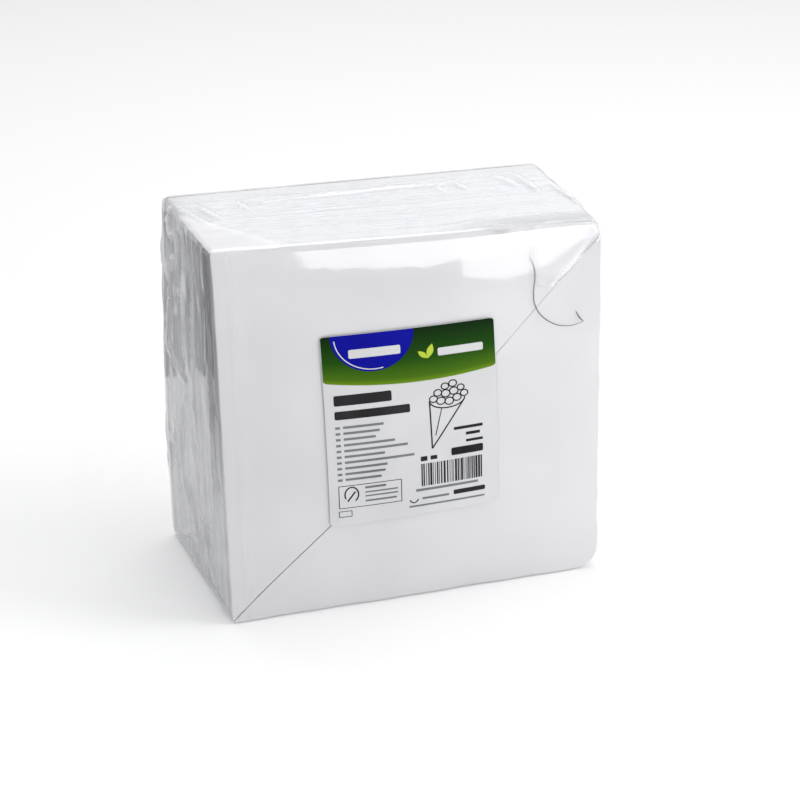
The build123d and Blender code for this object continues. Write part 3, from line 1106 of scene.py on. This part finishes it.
# %% Line drawings
# A filled cone, two boxes and a few small signs
cone_foot, cone_left, cone_right = (49.8, 36.8), (49.2, 62.4), (66.4, 61.6)
cone_mouth = (57.8, 62.4)
drawing = [stroke(straight(cone_left, cone_foot), 0.7), stroke(straight(cone_foot, cone_right), 0.7),
           stroke(straight((51.6, 43.6), (55, 58)), 0.45), stroke(arc(cone_mouth, 8.6, 4.6, 180, 360), 0.65)]
for u, v, size in (
        (51.2, 63.2, 1.9), (54.8, 61.8, 2.1), (58.8, 61.2, 2.1), (62.6, 62.6, 2.0), (66.2, 64.4, 1.8),
        (53.4, 66.2, 1.9), (57.2, 65.4, 2.1), (61.2, 66.2, 2.1), (64.6, 67.6, 1.7),
        (57.0, 69.2, 1.8), (60.8, 70.2, 1.9)):
    drawing.append(stroke(arc((u, v), size, 0.9 * size), 0.6))
boxes = []
for left, foot, right, head in ((4.6, 9.8, 34.4, 22.2), (4.4, 4.9, 10.4, 8.0)):
    corners = ((left, foot), (right, foot), (right, head), (left, head), (left, foot))
    boxes += [stroke(straight(start, end), 0.35) for start, end in zip(corners[:-1], corners[1:])]
signs = [stroke(arc((10.6, 17), 3.2, 4.2, -60, 210), 0.7), stroke(straight((8.6, 13.4), (12.4, 18.6)), 0.8),
         stroke(arc((40.4, 9.8), 2.0, 2.2, 190, 350), 0.6),
         stroke(straight((44, 31.8), (47.2, 31.8)), 2.6), stroke(straight((48.8, 31.8), (52, 31.8)), 2.2)]
printed("label_drawing", drawing + boxes + signs, print_rise, label_black)

# %% [markdown]
# ## Floor and room
# The pack stands on a white floor that runs on into a white room. The floor is lit as it
# is, so that it keeps the pack's soft shadow, and shows a little brighter to the camera
# and in mirrors. The room's own light is dimmer than the white that is seen behind the
# pack: if it were as bright, it would wash out every shadow.

# %% Floor
floor_glow = 0.2
deselect()
bpy.ops.mesh.primitive_plane_add(size=8, location=(0, 0, 0))
floor = named("floor")
floor_material, nodes, links, shader = new_material("floor_white")
shader.inputs["Base Color"].default_value = (0.965, 0.965, 0.965, 1)
shader.inputs["Roughness"].default_value = 0.9
shader.inputs["Specular IOR Level"].default_value = 0.1
glow = nodes.new("ShaderNodeEmission")
glow.inputs["Strength"].default_value = 1.0
path = nodes.new("ShaderNodeLightPath")
seen = add_math(nodes, links, "MAXIMUM", path.outputs["Is Camera Ray"], path.outputs["Is Glossy Ray"])
share = add_math(nodes, links, "MULTIPLY", seen, floor_glow)
lit = add_mix(nodes, links, share, shader.outputs["BSDF"], glow.outputs["Emission"])
links.new(lit, nodes["Material Output"].inputs["Surface"])
floor.data.materials.append(floor_material)

# %% Room
world = bpy.data.worlds.new("studio")
bpy.context.scene.world = world
world.use_nodes = True
nodes, links = world.node_tree.nodes, world.node_tree.links
room = nodes["Background"]
room.inputs["Color"].default_value = (0.97, 0.98, 1.0, 1)
room.inputs["Strength"].default_value = 0.40
white = nodes.new("ShaderNodeBackground")
white.inputs["Strength"].default_value = 1.0
path = nodes.new("ShaderNodeLightPath")
seen = add_math(nodes, links, "MAXIMUM", path.outputs["Is Camera Ray"], path.outputs["Is Transmission Ray"])
seen = add_math(nodes, links, "MAXIMUM", seen, path.outputs["Is Glossy Ray"])
lit = add_mix(nodes, links, seen, room.outputs["Background"], white.outputs["Background"])
links.new(lit, nodes["World Output"].inputs["Surface"])
print("the room glows at", round(room.inputs["Strength"].default_value, 2))

# %% [markdown]
# ## Lamps
# A large lamp from the front right, the key, makes the soft shadow at the left, and a
# larger one from above lights the top. Film shows a lamp only where it mirrors it, so two
# small, bright lamps stand low in front of the pack: the first is mirrored by the rolled
# stretch under the front's top edge as a bright band, and the second adds to it near the
# top right corner. The left wall mirrors a grey card on the floor, which makes its upper
# half darker. The card is shown to mirrors only, so it shades nothing.

# %% Lamps
def soft_lamp(name, place, target, width, height, watts):
    lamp = bpy.data.lights.new(name, "AREA")
    lamp.shape = "RECTANGLE"
    lamp.size = width
    lamp.size_y = height
    lamp.energy = watts
    holder = bpy.data.objects.new(name, lamp)
    bpy.context.scene.collection.objects.link(holder)
    holder.location = place
    holder.rotation_euler = (Vector(target) - Vector(place)).to_track_quat("-Z", "Y").to_euler()
    return holder


for lamp in (
        ("key", (1.2, -0.5, 1.3), (0, 0, 0.08), 0.8, 0.8, 11),
        ("top", (0.0, 0.3, 1.7), (0, 0, 0.1), 1.4, 1.4, 17.5),
        ("front", (0.39, -0.98, 0.27), (0.12, 0, 0.27), 0.5, 0.20, 1.95),
        ("corner", (0.42, -0.74, 0.18), (0.08, 0, 0.18), 0.24, 0.18, 0.72)):
    print(soft_lamp(*lamp).name, "lamp gives", lamp[-1], "watts")

# %% Dark card
card_place, card_turn, card_size = (-0.373, 0.353, 0.003), 0.207, (0.40, 0.33, 1)
deselect()
bpy.ops.mesh.primitive_plane_add(size=1, location=card_place, rotation=(0, 0, card_turn))
card = named("dark_card")
card.scale = card_size
card_material, nodes, links, shader = new_material("card_dark")
shader.inputs["Base Color"].default_value = (0.20, 0.20, 0.21, 1)
shader.inputs["Roughness"].default_value = 0.9
card.data.materials.append(card_material)
card.visible_camera = card.visible_diffuse = card.visible_shadow = card.visible_transmission = False

# %% [markdown]
# ## Camera
# The camera was fitted to the seven corners of the pack that the photo shows. Its place
# is in mm from the middle of the pack's footprint. It is turned to the right by the yaw,
# down by the pitch and a trace round its own axis by the roll.

# %% Camera
camera_place = Vector((-295.04, -954.68, 566.17)) * mm
camera_yaw, camera_pitch, camera_roll = (math.radians(angle) for angle in (17.653, 25.685, 0.153))
focal_pixels, image_pixels, sensor = 2222, 800, 36.0
camera_data = bpy.data.cameras.new("camera")
camera_data.sensor_width = sensor
camera_data.lens = focal_pixels * sensor / image_pixels
camera = bpy.data.objects.new("camera", camera_data)
bpy.context.scene.collection.objects.link(camera)
forward = Vector((
    math.sin(camera_yaw) * math.cos(camera_pitch),
    math.cos(camera_yaw) * math.cos(camera_pitch),
    -math.sin(camera_pitch)))
level = Vector((math.cos(camera_yaw), -math.sin(camera_yaw), 0))
upright = level.cross(forward)
right = math.cos(camera_roll) * level + math.sin(camera_roll) * upright
above = -math.sin(camera_roll) * level + math.cos(camera_roll) * upright
axes = Matrix((right, above, -forward)).transposed().to_4x4()
camera.matrix_world = Matrix.Translation(camera_place) @ axes
bpy.context.scene.camera = camera
bpy.context.scene.view_settings.view_transform = "Standard"

# %% [markdown]
# ## Finish
# The view layer is brought up to date.

# %% Finish
bpy.context.view_layer.update()
